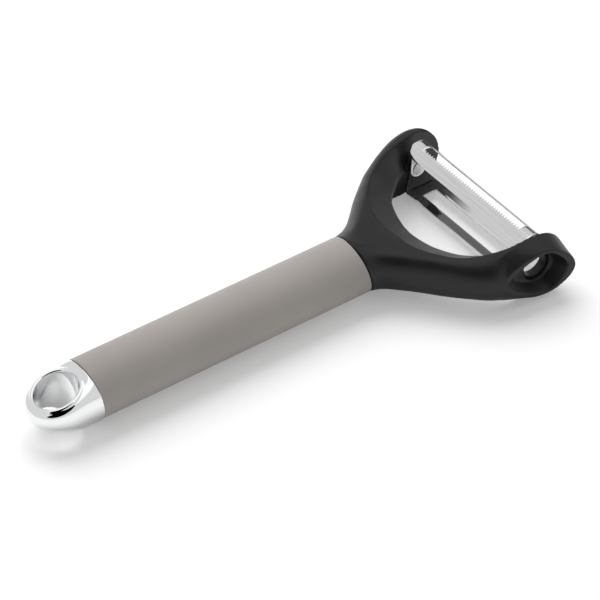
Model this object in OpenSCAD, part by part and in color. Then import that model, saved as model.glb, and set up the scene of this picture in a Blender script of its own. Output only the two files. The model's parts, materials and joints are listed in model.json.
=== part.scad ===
// Two-bladed swivel peeler with a fork head, a soft grip and a chrome end cap.
// +X runs along the handle towards the blades, +Y to the thin arm, +Z up.
// The origin is on the handle axis, at the centre of the hanging hole.

/* [Grip] */
// Length of the soft grip sleeve along the handle axis
grip_length = 111.3; // [95:0.1:130]
// Outer radius of the grip where it meets the head
grip_head_r = 11; // [10.4:0.1:12]
// Outer radius of the grip where it meets the end cap
grip_tail_r = 11.3; // [10.4:0.1:12.4]
// Wall of the soft sleeve at the head end
sleeve_wall = 1.8; // [1.2:0.1:2.4]
// Wall of the hard core tube inside the sleeve
core_wall = 2.6; // [1.8:0.1:3]
// Rake of the joint between grip and head, in degrees
head_rake = 11.6; // [0:0.1:14]
// Rake of the joint between grip and cap, in degrees
tail_rake = 8.7; // [0:0.1:12]

/* [End cap] */
// Radius of the hanging hole through the cap
hang_r = 7.7; // [6:0.1:8]
// Distance from the hanging hole to the joint with the grip
cap_front = 11.7; // [10.5:0.1:14]
// Length of the cap's rounded tail
cap_dome_length = 12.9; // [12.4:0.1:14]
// Distance from the hanging hole to the tail end
cap_back = 10.9; // [10.2:0.1:12.5]
// Height of the sloped top face above the axis at the hanging hole
cap_face_z = 5.6; // [4.5:0.1:7]
// Slope of the top face, in degrees
cap_face_slope = 18; // [10:0.5:20]
// Length of the cap's spigot inside the core tube
cap_spigot = 22; // [14:1:30]

/* [Head] */
// Length of the fork from the grip joint to the arm tips
head_length = 62.8; // [58:0.1:70]
// Distance from the handle axis to the thin arm's outer face
thin_arm_out = 37.7; // [34:0.1:41]
// Wall of the thin arm
thin_wall = 4.7; // [4.2:0.1:5.4]
// Distance from the handle axis to the thick arm's outer face
thick_arm_out = 41; // [38:0.1:45]
// Wall of the thick arm
thick_wall = 4.6; // [4.2:0.1:5.6]
// Half height of the arms where they carry the blades
arm_half_h = 12.5; // [12.4:0.1:13.2]
// Half height of the fork at its waist
waist_half_h = 8; // [7:0.1:9]
// Half thickness of the web's edge at the fork gap
web_edge_half_h = 1.3; // [1:0.1:2.5]
// Length of the tang inside the core tube
tang_length = 34; // [20:1:45]

/* [Eye remover] */
// Half height of the scoop's mouth
scoop_half_h = 8.4; // [7:0.1:9]
// Depth of the scoop below the thick arm's outer face
scoop_depth = 2.7; // [2.2:0.1:3.1]
// How far the beak stands out beyond the thick arm's outer face
beak_out = 4.2; // [3:0.1:5]
// Slope of the scoop's rim along the arm, in degrees
rim_slope = 8.4; // [6:0.1:10]

/* [Blades] */
// Thickness of the blade steel
blade_t = 0.6; // [0.5:0.05:0.8]
// Running gap between the blades' far end and the thin arm's boss
blade_far_gap = 0.6; // [0.3:0.05:0.8]
// Running gap between the blades' other end and the thick arm
blade_side_gap = 0.5; // [0.3:0.05:0.6]
// Length of the bridge at each end of a blade's slot
bridge_length = 5.6; // [4:0.1:8]
// Half width of the serrated blade, measured from the pivot axis
serrated_half_w = 5.15; // [4.8:0.05:5.3]
// Half width of the serrated blade's raised crown
crown_half_w = 2.46; // [2.2:0.02:2.7]
// Height of the serrated blade's outer edges above the pivot axis
serrated_edge_z = 8.26; // [8:0.02:8.6]
// Height of the serrated blade's crown above the pivot axis
crown_z = 11.6; // [11.2:0.05:11.8]
// Distance of both cutting edges from the pivot axis, towards the handle
cutting_edge_x = 1; // [0.5:0.1:1.6]
// Spacing of the teeth
tooth_pitch = 1.27; // [0.9:0.01:2]
// Depth of the notches between the teeth
tooth_depth = 1.1; // [0.6:0.1:1.3]
// Distance from the pivot axis to the plain blade's guard edge
guard_edge_x = 4.9; // [4:0.1:5.2]
// Width of the plain blade's strip on each side of its slot
strip_w = 4.2; // [3.6:0.1:4.3]
// Depth of the plain blade's slot below the pivot axis
plain_z = 9; // [8.8:0.1:9.6]
// Rise of the plain blade's strips towards their outer edges
strip_rise = 0.74; // [0.4:0.02:1]

/* [Pivots] */
// Radius of the far pivot pin
pin_r = 1.5; // [1.2:0.05:1.8]
// Radius of the rounded ears on the pin
ear_r = 3.3; // [2.8:0.1:3.6]
// Distance that the thin arm's boss stands out from its inner face
boss_out = 2.4; // [1.8:0.1:2.6]
// Inner radius of the hollow bush
bush_bore_r = 4.7; // [4:0.1:4.8]
// Outer radius of the hollow bush
bush_r = 5.4; // [5.2:0.1:5.5]
// Radius of the ring ears round the bush
ring_ear_r = 7; // [6.4:0.1:7.2]
// Radial running clearance of both pivots
pivot_clear = 0.08; // [0.04:0.01:0.1]

/* [Hidden] */

$fn = 96;
hull_fn = 32;
overrun = 1;
sliver = 0.02;
fit_gap = 0.05;
ear_gap = 0.05;

head_joint_x = cap_front + grip_length;
head_tip_x = head_joint_x + head_length;
pivot_x = head_tip_x - arm_half_h;
pivot_in_head = head_length - arm_half_h;
thin_arm_in = thin_arm_out - thin_wall;
thick_arm_in = thick_arm_out - thick_wall;
core_r = grip_head_r - sleeve_wall;
core_bore_r = core_r - core_wall;
spigot_r = core_bore_r - fit_gap;
reach = grip_length;

// Half space on the tail side of a raked joint plane that crosses the axis at x
module tail_side(x, rake) {
  translate([x, 0, 0]) rotate([0, -rake, 0])
    translate([-2 * reach, -reach, -reach]) cube([2 * reach, 2 * reach, 2 * reach]);
}

// Disc along Y, from one side distance to another
module disc_y(r, y0, y1) {
  translate([0, y1, 0]) rotate([90, 0, 0]) cylinder(r = r, h = y1 - y0);
}

// Fork head: outlines are shares of the head's length, widths and height
thin_side_share = [[0.08, 0.24], [0.145, 0.398], [0.218, 0.544], [0.279, 0.642], [0.347, 0.74],
  [0.406, 0.814], [0.465, 0.878], [0.57, 0.939], [0.685, 0.979], [0.764, 0.997], [0.8, 1], [1.1, 1]];
thick_side_share = [[0.08, 0.22], [0.145, 0.39], [0.215, 0.549], [0.287, 0.68], [0.358, 0.81],
  [0.439, 0.929], [0.494, 0.985], [0.541, 1.01], [0.605, 1.015], [0.669, 1.01], [0.8, 1], [1.1, 1]];
// Heights over the shares of the way to the pivot
side_height_share = [[0.1, 0], [0.318, 0], [0.477, 0.011], [0.557, 0.067], [0.617, 0.178],
  [0.675, 0.356], [0.745, 0.578], [0.815, 0.8], [0.895, 0.956], [0.954, 1]];
// The outer walls lean in above and below an upright band, up to these outlines at the arms' full height
thin_top_share = [[0.08, 0.027], [0.502, 0.745], [0.584, 0.849], [0.689, 0.926], [0.8, 0.96], [1.1, 0.96]];
thick_top_share = [[0.08, 0.024], [0.605, 0.88], [0.669, 0.912], [0.8, 0.934], [1.1, 0.934]];
upright_share = 0.24;
tip_arc_steps = 24;

function mirrored_back(points) = [for (i = [len(points) - 1 : -1 : 0]) [points[i][0], -points[i][1]]];
function scaled_points(share, sx, sy) = [for (p = share) [p[0] * sx, p[1] * sy]];

module head_plan(thin_share, thick_share) {
  thin_side = scaled_points(thin_share, head_length, thin_arm_out);
  thick_side = scaled_points(thick_share, head_length, thick_arm_out);
  polygon(concat(thin_side, mirrored_back(thick_side)));
}

module head_side() {
  top = [for (p = side_height_share)
    [p[0] * pivot_in_head, waist_half_h + p[1] * (arm_half_h - waist_half_h)]];
  tip = [for (i = [0 : tip_arc_steps]) let (a = 90 - i * 180 / tip_arc_steps)
    [pivot_in_head + arm_half_h * cos(a), arm_half_h * sin(a)]];
  polygon(concat(top, tip, mirrored_back(top)));
}

module fork_blank() {
  height = arm_half_h + overrun;
  width = thick_arm_out + overrun;
  intersection() {
    translate([0, 0, -height]) linear_extrude(2 * height) head_plan(thin_side_share, thick_side_share);
    rotate([90, 0, 0]) translate([0, 0, -width]) linear_extrude(2 * width) head_side();
    hull() {
      translate([0, 0, -upright_share * arm_half_h]) linear_extrude(2 * upright_share * arm_half_h)
        head_plan(thin_side_share, thick_side_share);
      translate([0, 0, -height]) linear_extrude(2 * height) head_plan(thin_top_share, thick_top_share);
    }
  }
}

// Neck that blends the round joint into the flat waist
neck_length_share = 0.2;
neck_width_share = 0.45;
module neck() {
  hull_end = neck_length_share * head_length;
  rake_run = grip_head_r * tan(head_rake);
  hull() {
    difference() {
      translate([-rake_run - overrun, 0, 0]) rotate([0, 90, 0])
        cylinder(r = grip_head_r, h = 2 * rake_run + overrun + sliver, $fn = hull_fn * 2);
      tail_side(fit_gap, head_rake);
    }
    translate([hull_end, 0, 0]) scale([1, neck_width_share * thin_arm_out / waist_half_h, 1])
      rotate([0, 90, 0]) cylinder(r = waist_half_h, h = sliver, $fn = hull_fn * 2);
  }
}

// Fork gap: its edge at mid height and, wider, at the arms' full height, from the pivot axis back
thin_gap_share = [[1, 0], [0.979, 0.136], [0.932, 0.282], [0.88, 0.397], [0.816, 0.509], [0.752, 0.585],
  [0.641, 0.673], [0.51, 0.758], [0.39, 0.836], [0.283, 0.894], [0.171, 0.945], [0.052, 0.979],
  [-0.068, 0.991], [-0.227, 1], [-0.82, 1]];
thick_gap_share = [[0.979, 0.124], [0.94, 0.255], [0.88, 0.36], [0.808, 0.453], [0.725, 0.536],
  [0.621, 0.602], [0.506, 0.659], [0.41, 0.742], [0.362, 0.852], [0.33, 0.951], [0.303, 1], [-0.82, 1]];
thin_flare_share = [[1.668, 0], [1.68, 0.112], [1.664, 0.267], [1.584, 0.418], [1.497, 0.545],
  [1.377, 0.682], [1.246, 0.794], [1.075, 0.876], [0.872, 0.918], [0.633, 0.952], [0.414, 0.962],
  [0.215, 0.979], [0.036, 0.994], [-0.187, 1], [-0.82, 1]];
thick_flare_share = [[1.66, 0.146], [1.652, 0.324], [1.604, 0.456], [1.533, 0.544], [1.457, 0.632],
  [1.361, 0.745], [1.19, 0.846], [0.951, 0.89], [0.74, 0.912], [0.565, 0.934], [0.398, 0.973],
  [0.215, 0.992], [-0.068, 1], [-0.82, 1]];
gap_depth_share = 0.4;

module gap_outline(thin_share, thick_share) {
  gap_depth = gap_depth_share * head_length;
  thin_side = scaled_points(thin_share, -gap_depth, thin_arm_in);
  thick_side = scaled_points(thick_share, -gap_depth, thick_arm_in);
  translate([pivot_in_head, 0]) polygon(concat(thin_side, mirrored_back(thick_side)));
}

module fork_gap() {
  height = arm_half_h + overrun;
  translate([0, 0, -height]) linear_extrude(2 * height) gap_outline(thin_gap_share, thick_gap_share);
  for (side = [0, 1]) mirror([0, 0, side]) hull() {
    translate([0, 0, web_edge_half_h]) linear_extrude(sliver) gap_outline(thin_gap_share, thick_gap_share);
    translate([0, 0, arm_half_h]) linear_extrude(overrun) gap_outline(thin_flare_share, thick_flare_share);
  }
}

// Eye remover on the thick arm: a boat with a slanted rim and a scoop in it, as half outlines in shares
// of the arm's half height along X, and of that or of the scoop's half height along Z, from the pivot
boat_root_share = [[-1.76, 0], [-1.68, 0.31], [-1.52, 0.5], [-1.25, 0.69], [-0.89, 0.855], [-0.5, 0.94],
  [0, 0.98], [0.37, 0.91], [0.655, 0.735], [0.86, 0.48], [0.96, 0.23], [0.985, 0]];
boat_rim_share = [[-1.352, 0], [-1.256, 0.208], [-1.104, 0.384], [-0.824, 0.544], [-0.504, 0.672],
  [-0.264, 0.744], [0, 0.768], [0.296, 0.704], [0.52, 0.584], [0.728, 0.408], [0.872, 0.216], [0.928, 0]];
scoop_rim_share = [[-1.24, 0], [-1.16, 0.262], [-1.032, 0.452], [-0.792, 0.679], [-0.504, 0.857],
  [-0.264, 0.964], [0, 1], [0.28, 0.905], [0.48, 0.738], [0.664, 0.5], [0.792, 0.25], [0.84, 0]];
scoop_floor_share = [[-0.864, 0], [-0.808, 0.155], [-0.696, 0.31], [-0.536, 0.476], [-0.344, 0.631],
  [-0.16, 0.726], [0.016, 0.762], [0.216, 0.738], [0.376, 0.619], [0.52, 0.429], [0.6, 0.214], [0.632, 0]];
beak_x_share = 0.928;
boat_root_gap = 0.1;

function almond(share, sz) = let (upper = scaled_points(share, arm_half_h, sz))
  concat(upper, mirrored_back([for (i = [1 : len(upper) - 2]) upper[i]]));

// Flat outline in X and Z at a side distance, thickened outwards from the arm
module side_slab(y, slope, thickness, points) {
  translate([0, y, 0]) rotate([0, 0, -slope]) rotate([90, 0, 0]) linear_extrude(thickness) polygon(points);
}

module boat() {
  rim_y = -thick_arm_out - beak_out + beak_x_share * arm_half_h * tan(rim_slope);
  hull() {
    side_slab(-thick_arm_in - boat_root_gap, 0, sliver, almond(boat_root_share, arm_half_h));
    side_slab(rim_y, rim_slope, sliver, almond(boat_rim_share, arm_half_h));
  }
}

module scoop() {
  rim_y = -thick_arm_out - beak_out + beak_x_share * arm_half_h * tan(rim_slope);
  hull() {
    side_slab(rim_y, rim_slope, overrun, almond(scoop_rim_share, scoop_half_h));
    side_slab(-thick_arm_out + scoop_depth, 0, sliver, almond(scoop_floor_share, scoop_half_h));
  }
}

module fork_head() {
  boss_face = thin_arm_in - boss_out;
  pin_bore_end = thin_arm_out - thin_wall / 3;
  color([0.1, 0.1, 0.105]) {
    translate([head_joint_x, 0, 0]) neck();
    translate([head_joint_x - tang_length, 0, 0]) rotate([0, 90, 0])
      cylinder(r = spigot_r, h = tang_length + grip_head_r);
    difference() {
      union() {
        translate([head_joint_x, 0, 0]) difference() {
          fork_blank();
          fork_gap();
        }
        translate([pivot_x, 0, 0]) boat();
        translate([pivot_x, 0, 0]) disc_y(ear_r, boss_face, thin_arm_in + overrun);
      }
      translate([pivot_x, 0, 0]) {
        scoop();
        disc_y(bush_r + pivot_clear, -thick_arm_out - overrun, -thick_arm_in + overrun);
        disc_y(pin_r + pivot_clear, boss_face - overrun, pin_bore_end);
      }
    }
  }
}

// Cuts a handle piece off at the two raked joint planes, less a small gap at each
module between_joints(gap) {
  difference() {
    intersection() {
      children();
      tail_side(head_joint_x - gap, head_rake);
    }
    tail_side(cap_front + gap, tail_rake);
  }
}

module handle_core() {
  color([0.16, 0.16, 0.17]) between_joints(fit_gap) difference() {
    rotate([0, 90, 0]) cylinder(r = core_r, h = head_tip_x);
    translate([-overrun, 0, 0]) rotate([0, 90, 0]) cylinder(r = core_bore_r, h = head_tip_x + 2 * overrun);
  }
}

module grip_sleeve() {
  taper = (grip_tail_r - grip_head_r) / grip_length;
  color([0.6, 0.58, 0.55]) between_joints(fit_gap) difference() {
    rotate([0, 90, 0]) cylinder(r1 = grip_tail_r + taper * cap_front,
      r2 = grip_head_r - taper * head_length, h = head_tip_x);
    translate([-overrun, 0, 0]) rotate([0, 90, 0])
      cylinder(r = core_r + fit_gap, h = head_tip_x + 2 * overrun);
  }
}

// Chrome cap: a round nosed cylinder with a sloped top face round the hanging hole
dome_steps = 20;
face_fillet_share = 0.3;
face_fillet_steps = 8;
module cap_body() {
  dome_x = cap_dome_length - cap_back;
  dome = [for (i = [0 : dome_steps]) let (a = i * 90 / dome_steps)
    [grip_tail_r * sin(a), -cap_dome_length * cos(a)]];
  translate([dome_x, 0, 0]) rotate([0, 90, 0])
    rotate_extrude() polygon(concat(dome, [[grip_tail_r, cap_front], [0, cap_front]]));
}

module cap_face_cut() {
  fillet_r = face_fillet_share * grip_tail_r;
  slope = tan(cap_face_slope);
  wall_x = cap_front - grip_tail_r * tan(tail_rake) - fillet_r / 6;
  centre_x = wall_x - fillet_r;
  centre_z = cap_face_z + slope * centre_x + fillet_r / cos(cap_face_slope);
  fillet = [for (i = [0 : face_fillet_steps])
    let (a = cap_face_slope - 90 + i * (90 - cap_face_slope) / face_fillet_steps)
    [centre_x + fillet_r * cos(a), centre_z + fillet_r * sin(a)]];
  top_z = grip_tail_r + fillet_r;
  tail_x = -cap_back - overrun;
  outline = concat([[tail_x, cap_face_z + slope * tail_x]], fillet, [[wall_x, top_z], [tail_x, top_z]]);
  rotate([90, 0, 0]) translate([0, 0, -reach / 2]) linear_extrude(reach) polygon(outline);
}

module end_cap() {
  color([0.85, 0.86, 0.87]) difference() {
    union() {
      intersection() {
        cap_body();
        tail_side(cap_front - fit_gap, tail_rake);
      }
      translate([hang_r + overrun, 0, 0]) rotate([0, 90, 0])
        cylinder(r = spigot_r, h = cap_front - hang_r - overrun + cap_spigot);
    }
    cap_face_cut();
    translate([0, 0, -2 * grip_tail_r]) cylinder(r = hang_r, h = 4 * grip_tail_r);
  }
}

// Blades: each is a slotted strip with an ear at both ends, drawn about the pivot axis
blade_near = -(thick_arm_in - blade_side_gap);
blade_far = thin_arm_in - boss_out - blade_far_gap;
slot_far = blade_far - bridge_length;
slot_near = blade_near + bridge_length;
crown_rise_share = 0.04;
crown_steps = 8;
corner_cut = 3 * blade_t;

// Serrated blade's arched section, as an outer line and the same line one thickness inside
function crown_line(inset) = [for (i = [-crown_steps : crown_steps]) let (s = i / crown_steps)
  [s * (crown_half_w - inset / 2), crown_z - inset + crown_rise_share * crown_z * (1 - s * s)]];

module serrated_section() {
  run = serrated_half_w - crown_half_w;
  rise = crown_z - serrated_edge_z;
  slant = sqrt(run * run + rise * rise);
  inset = [blade_t * rise / slant, blade_t * run / slant];
  polygon(concat(
    [[-serrated_half_w, serrated_edge_z]], crown_line(0), [[serrated_half_w, serrated_edge_z],
      [serrated_half_w - inset[0], serrated_edge_z - inset[1]]],
    [for (i = [2 * crown_steps : -1 : 0]) crown_line(blade_t)[i]],
    [[-serrated_half_w + inset[0], serrated_edge_z - inset[1]]]));
}

// Slot in plan, with a saw-toothed near side
module toothed_slot() {
  count = floor((slot_far - slot_near) / tooth_pitch);
  first = (slot_far + slot_near - count * tooth_pitch) / 2;
  tips = [for (i = [0 : count]) [-cutting_edge_x, first + i * tooth_pitch]];
  roots = [for (i = [0 : count - 1]) [-cutting_edge_x - tooth_depth, first + (i + 0.5) * tooth_pitch]];
  zigzag = [for (i = [0 : 2 * count]) i % 2 == 0 ? tips[i / 2] : roots[(i - 1) / 2]];
  polygon(concat([[-cutting_edge_x, slot_near]], zigzag, [[-cutting_edge_x, slot_far],
    [crown_half_w, slot_far], [crown_half_w, slot_near]]));
}

// Extrudes a section drawn in X and Z along Y between two side distances
module along_y(y0, y1) {
  translate([0, y1, 0]) rotate([90, 0, 0]) linear_extrude(y1 - y0) children();
}

// Cuts the four corners off a strip that reaches from one edge to the other
module strip_corners(x0, x1, y0, y1, z0, z1) {
  for (x = [x0, x1], y = [y0, y1]) translate([x, y, z0]) rotate([0, 0, 45])
    translate([-corner_cut, -corner_cut, 0]) cube([2 * corner_cut, 2 * corner_cut, z1 - z0]);
}

module serrated_blade() {
  color([0.78, 0.79, 0.8]) translate([pivot_x, 0, 0]) {
    difference() {
      along_y(blade_near, blade_far) serrated_section();
      linear_extrude(2 * crown_z) toothed_slot();
      strip_corners(-serrated_half_w, serrated_half_w, blade_near, blade_far, 0, 2 * crown_z);
    }
    difference() {
      union() {
        along_y(blade_far - blade_t, blade_far) serrated_ear(ear_r);
        disc_y(ear_r, blade_far - blade_t, blade_far);
      }
      disc_y(pin_r + fit_gap, blade_far - blade_t - overrun, blade_far + overrun);
    }
    difference() {
      union() {
        along_y(blade_near, blade_near + blade_t) serrated_ear(ring_ear_r);
        disc_y(ring_ear_r, blade_near, blade_near + blade_t);
      }
      disc_y(bush_r + fit_gap, blade_near - overrun, blade_near + blade_t + overrun);
    }
  }
}

module serrated_ear(r) {
  shoulder = min(r, serrated_half_w - blade_t);
  top = crown_z - blade_t / 2;
  polygon([[-crown_half_w, top], [crown_half_w, top], [shoulder, serrated_edge_z], [r, 0], [-r, 0],
    [-shoulder, serrated_edge_z]]);
}

// Plain blade: a shallow channel below the axis, its ears inside those of the serrated blade
plain_near_x = -cutting_edge_x - strip_w;
plain_far_x = guard_edge_x + strip_w;
plain_far_y = blade_far - blade_t - ear_gap;
plain_near_y = blade_near + blade_t + ear_gap;

module plain_section() {
  polygon([[plain_near_x, -plain_z + strip_rise], [-cutting_edge_x, -plain_z], [guard_edge_x, -plain_z],
    [plain_far_x, -plain_z + strip_rise], [plain_far_x, -plain_z + strip_rise + blade_t],
    [guard_edge_x, -plain_z + blade_t], [-cutting_edge_x, -plain_z + blade_t],
    [plain_near_x, -plain_z + strip_rise + blade_t]]);
}

module plain_ear(r) {
  foot = -plain_z + blade_t / 2;
  polygon([[-r, 0], [r, 0], [guard_edge_x, foot], [-cutting_edge_x - strip_w / 2, foot + strip_rise / 2]]);
}

module plain_blade() {
  color([0.74, 0.75, 0.76]) translate([pivot_x, 0, 0]) {
    difference() {
      along_y(plain_near_y, plain_far_y) plain_section();
      translate([-cutting_edge_x, slot_near, -2 * plain_z])
        cube([cutting_edge_x + guard_edge_x, slot_far - slot_near, 2 * plain_z]);
      strip_corners(plain_near_x, plain_far_x, plain_near_y, plain_far_y, -2 * plain_z, 0);
    }
    difference() {
      union() {
        along_y(plain_far_y - blade_t, plain_far_y) plain_ear(ear_r);
        disc_y(ear_r, plain_far_y - blade_t, plain_far_y);
      }
      disc_y(pin_r + fit_gap, plain_far_y - blade_t - overrun, plain_far_y + overrun);
    }
    difference() {
      union() {
        along_y(plain_near_y, plain_near_y + blade_t) plain_ear(ring_ear_r);
        disc_y(ring_ear_r, plain_near_y, plain_near_y + blade_t);
      }
      disc_y(bush_r + fit_gap, plain_near_y - overrun, plain_near_y + blade_t + overrun);
    }
  }
}

// Pivots: a headed pin at the thin arm and a flanged hollow bush at the thick arm
pin_head_r_share = 1.6;
far_pivot_end_gap = 0.3;
module far_pivot_pin() {
  head_y = plain_far_y - blade_t - ear_gap;
  pin_bore_end = thin_arm_out - thin_wall / 3;
  color([0.7, 0.7, 0.71]) translate([pivot_x, 0, 0]) {
    disc_y(pin_r, head_y - sliver, pin_bore_end - far_pivot_end_gap);
    disc_y(pin_head_r_share * pin_r, head_y - blade_t, head_y);
  }
}

bush_flange_share = 1.16;
bush_inset_share = 0.5;
module near_pivot_bush() {
  flange_y = plain_near_y + blade_t + ear_gap;
  floor_wall = thick_wall - scoop_depth;
  outer_y = -thick_arm_in - bush_inset_share * floor_wall;
  color([0.7, 0.7, 0.71]) translate([pivot_x, 0, 0]) difference() {
    union() {
      disc_y(bush_r, outer_y, flange_y + blade_t);
      disc_y(bush_flange_share * bush_r, flange_y, flange_y + blade_t);
    }
    disc_y(bush_bore_r, outer_y - overrun, flange_y + blade_t + overrun);
  }
}

fork_head();
handle_core();
grip_sleeve();
end_cap();
serrated_blade();
plain_blade();
far_pivot_pin();
near_pivot_bush();
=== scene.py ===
# %% [markdown]
# # A two-bladed swivel peeler, dressed in Blender
# The solids of this peeler come packed from the CAD side. They are loaded here as a fixed frame
# that is never moved. Around it each visible piece is modelled again with soft edges, ground
# teeth and real finishes, and each new piece rides on the CAD body that it belongs to. Blender
# counts in metres, but a peeler is easier to think of in millimetres, so its sizes are written
# in millimetres and multiplied by MM. X runs along the handle to the blades, Y to the thin arm.

# %% Load the fixed frame
import json
import math

import bpy
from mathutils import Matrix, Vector


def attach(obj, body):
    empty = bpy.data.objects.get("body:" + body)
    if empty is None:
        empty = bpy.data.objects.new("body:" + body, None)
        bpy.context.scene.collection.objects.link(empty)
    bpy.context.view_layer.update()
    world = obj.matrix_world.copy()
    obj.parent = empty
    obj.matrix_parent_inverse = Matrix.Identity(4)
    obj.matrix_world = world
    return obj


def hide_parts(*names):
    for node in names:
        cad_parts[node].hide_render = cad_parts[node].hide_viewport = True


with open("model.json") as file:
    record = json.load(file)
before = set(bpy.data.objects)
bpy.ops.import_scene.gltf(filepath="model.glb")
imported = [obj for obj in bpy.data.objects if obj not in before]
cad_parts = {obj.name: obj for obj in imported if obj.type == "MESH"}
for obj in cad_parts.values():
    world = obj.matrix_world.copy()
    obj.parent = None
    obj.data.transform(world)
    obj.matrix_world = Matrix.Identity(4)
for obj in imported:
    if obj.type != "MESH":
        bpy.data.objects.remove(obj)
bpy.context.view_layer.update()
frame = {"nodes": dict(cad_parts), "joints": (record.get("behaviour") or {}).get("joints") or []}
MM = 0.001
REACH_TO_PIVOT = 50.3
PIVOT_X = frame["joints"][0]["pos_m"][0] / MM
NECK_X = PIVOT_X - REACH_TO_PIVOT

# %% [markdown]
# ## The camera
# The handle's parallel edges hardly run together, so the photograph was taken from far away with
# a long lens. A short lens close by would swell the cap, and a view without perspective would
# lose the little that there is. A 300 mm lens from 1.7 m, looking down at 40 degrees, matches.

# %% Place the camera
LENS = 300
SENSOR_WIDTH = 36
CAMERA_PLACE = Vector((-677.1, -1059.8, 1094.8)) * MM
CAMERA_TARGET = Vector((96.9, -4.86, 0)) * MM


def add_object(name, data):
    """A new object for a mesh, a lamp or a camera, linked into the scene."""
    thing = bpy.data.objects.new(name, data)
    bpy.context.scene.collection.objects.link(thing)
    return thing


def aim(thing, place, target):
    """Puts a camera or a lamp at its place and turns it towards its target."""
    thing.location = place
    thing.rotation_euler = (target - place).to_track_quat("-Z", "Y").to_euler()


camera_data = bpy.data.cameras.new("camera")
camera_data.lens = LENS
camera_data.sensor_width = SENSOR_WIDTH
camera = add_object("camera", camera_data)
aim(camera, CAMERA_PLACE, CAMERA_TARGET)
bpy.context.scene.camera = camera
bpy.context.scene.view_settings.view_transform = "Standard"
print("camera is", round((CAMERA_TARGET - CAMERA_PLACE).length, 3), "m away")

# %% [markdown]
# ## Helpers for working by hand in code
# An operator acts on all that is selected, so every step starts from a clear selection. Pieces
# are shaped by modifiers, as in the window, but each one is applied at once, so the next step
# works on plain mesh. Joined forms can be melted into one skin by a voxel remesh, which also
# rounds the inner corners where they meet.

# %% Selection and modifiers
def clear_selection():
    bpy.ops.object.select_all(action="DESELECT")


def pick(piece):
    """Selects this piece alone and makes it the active one."""
    clear_selection()
    piece.select_set(True)
    bpy.context.view_layer.objects.active = piece


def add_modifier(piece, kind, **values):
    """Adds a modifier with its settings and applies it at once."""
    modifier = piece.modifiers.new(kind.lower(), kind)
    for name, value in values.items():
        setattr(modifier, name, value)
    pick(piece)
    bpy.ops.object.modifier_apply(modifier=modifier.name)


def combine(piece, tool, operation):
    """Joins, cuts or trims the piece by a tool, which is used up."""
    add_modifier(piece, "BOOLEAN", object=tool, operation=operation, solver="MANIFOLD")
    bpy.data.objects.remove(tool)


def melt(piece, voxel, smooth_steps=0):
    """Remeshes joined forms into one skin, whose new edges are then relaxed step by step."""
    add_modifier(piece, "REMESH", mode="VOXEL", voxel_size=voxel * MM)
    if smooth_steps:
        add_modifier(piece, "SMOOTH", factor=0.5, iterations=smooth_steps)


print("selection and modifier helpers ready")

# %% [markdown]
# A closed skin has to face outwards all over, so its doubles are merged and its normals turned
# the same way. Real edges are never quite sharp and catch a thin line of light, so they get a
# small bevel, while the gentler ones are only shaded smooth. At the end a piece gets its
# material and its body, and the CAD nodes that it stands for are hidden.

# %% Normals, edges and the finished piece
SAME_POINT = 0.001


def mend_normals(piece):
    """Merges doubles and turns every face of a closed skin outwards."""
    pick(piece)
    bpy.ops.object.mode_set(mode="EDIT")
    bpy.ops.mesh.select_all(action="SELECT")
    bpy.ops.mesh.remove_doubles(threshold=SAME_POINT * MM)
    bpy.ops.mesh.normals_make_consistent(inside=False)
    bpy.ops.object.mode_set(mode="OBJECT")


def smooth_by_angle(piece, degrees):
    """Shades edges up to that angle smooth, and leaves the sharper ones as they are."""
    pick(piece)
    bpy.ops.object.shade_smooth_by_angle(angle=math.radians(degrees))


def break_edges(piece, width, segments, sharp_from, smooth_to):
    """Bevels the edges that are sharper than an angle, and shades the gentler ones smooth."""
    add_modifier(piece, "BEVEL", width=width * MM, segments=segments, limit_method="ANGLE",
                 angle_limit=math.radians(sharp_from))
    smooth_by_angle(piece, smooth_to)


def finish_piece(piece, body, slot, material, *nodes):
    """Gives the piece its finish and its body, and hides the CAD nodes that it stands for."""
    if material:
        piece.data.materials.clear()
        piece.data.materials.append(material)
    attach(piece, body)
    if nodes:
        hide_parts(*nodes)
    print(piece.name, len(piece.data.vertices), "points, rides on", body)


print("finishing helpers ready")

# %% [markdown]
# Three more helpers draw free forms. One rounds a row of measured points into a smooth curve, one
# reads a table between its entries, and one stretches a skin over a row of sections that all
# have the same number of points, like the planking of a boat over its ribs, and closes both ends.

# %% Curves and skins
def smooth_row(points, steps):
    """A smooth curve through the points, with that many steps between neighbours."""
    rows = [points[0]] + list(points) + [points[-1]]
    out = []
    for a, b, c, d in zip(rows, rows[1:], rows[2:], rows[3:]):
        for i in range(steps):
            t = i / steps
            out.append(tuple(
                0.5 * (2 * q + (r - p) * t + (2 * p - 5 * q + 4 * r - s) * t * t
                       + (3 * q - p - 3 * r + s) * t ** 3)
                for p, q, r, s in zip(a, b, c, d)))
    return out + [tuple(points[-1])]


def value_at(table, x):
    """Reads a table of (x, value) pairs between its entries."""
    for (x0, v0), (x1, v1) in zip(table, table[1:]):
        if x <= x1:
            return v0 + (v1 - v0) * max(0, (x - x0) / (x1 - x0))
    return table[-1][1]


def skin(name, rings):
    """A closed mesh over rings of points, given in millimetres."""
    count = len(rings[0])
    points = [Vector(p) * MM for ring in rings for p in ring]
    faces = []
    for r in range(len(rings) - 1):
        here, after = r * count, (r + 1) * count
        for i in range(count):
            j = (i + 1) % count
            faces.append((here + i, here + j, after + j, after + i))
    faces.append(tuple(reversed(range(count))))
    faces.append(tuple(range(len(points) - count, len(points))))
    mesh = bpy.data.meshes.new(name)
    mesh.from_pydata(points, [], faces)
    piece = add_object(name, mesh)
    mend_normals(piece)
    return piece


print("a row of three points becomes", len(smooth_row([(0, 0), (1, 1), (2, 0)], 4)))

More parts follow.
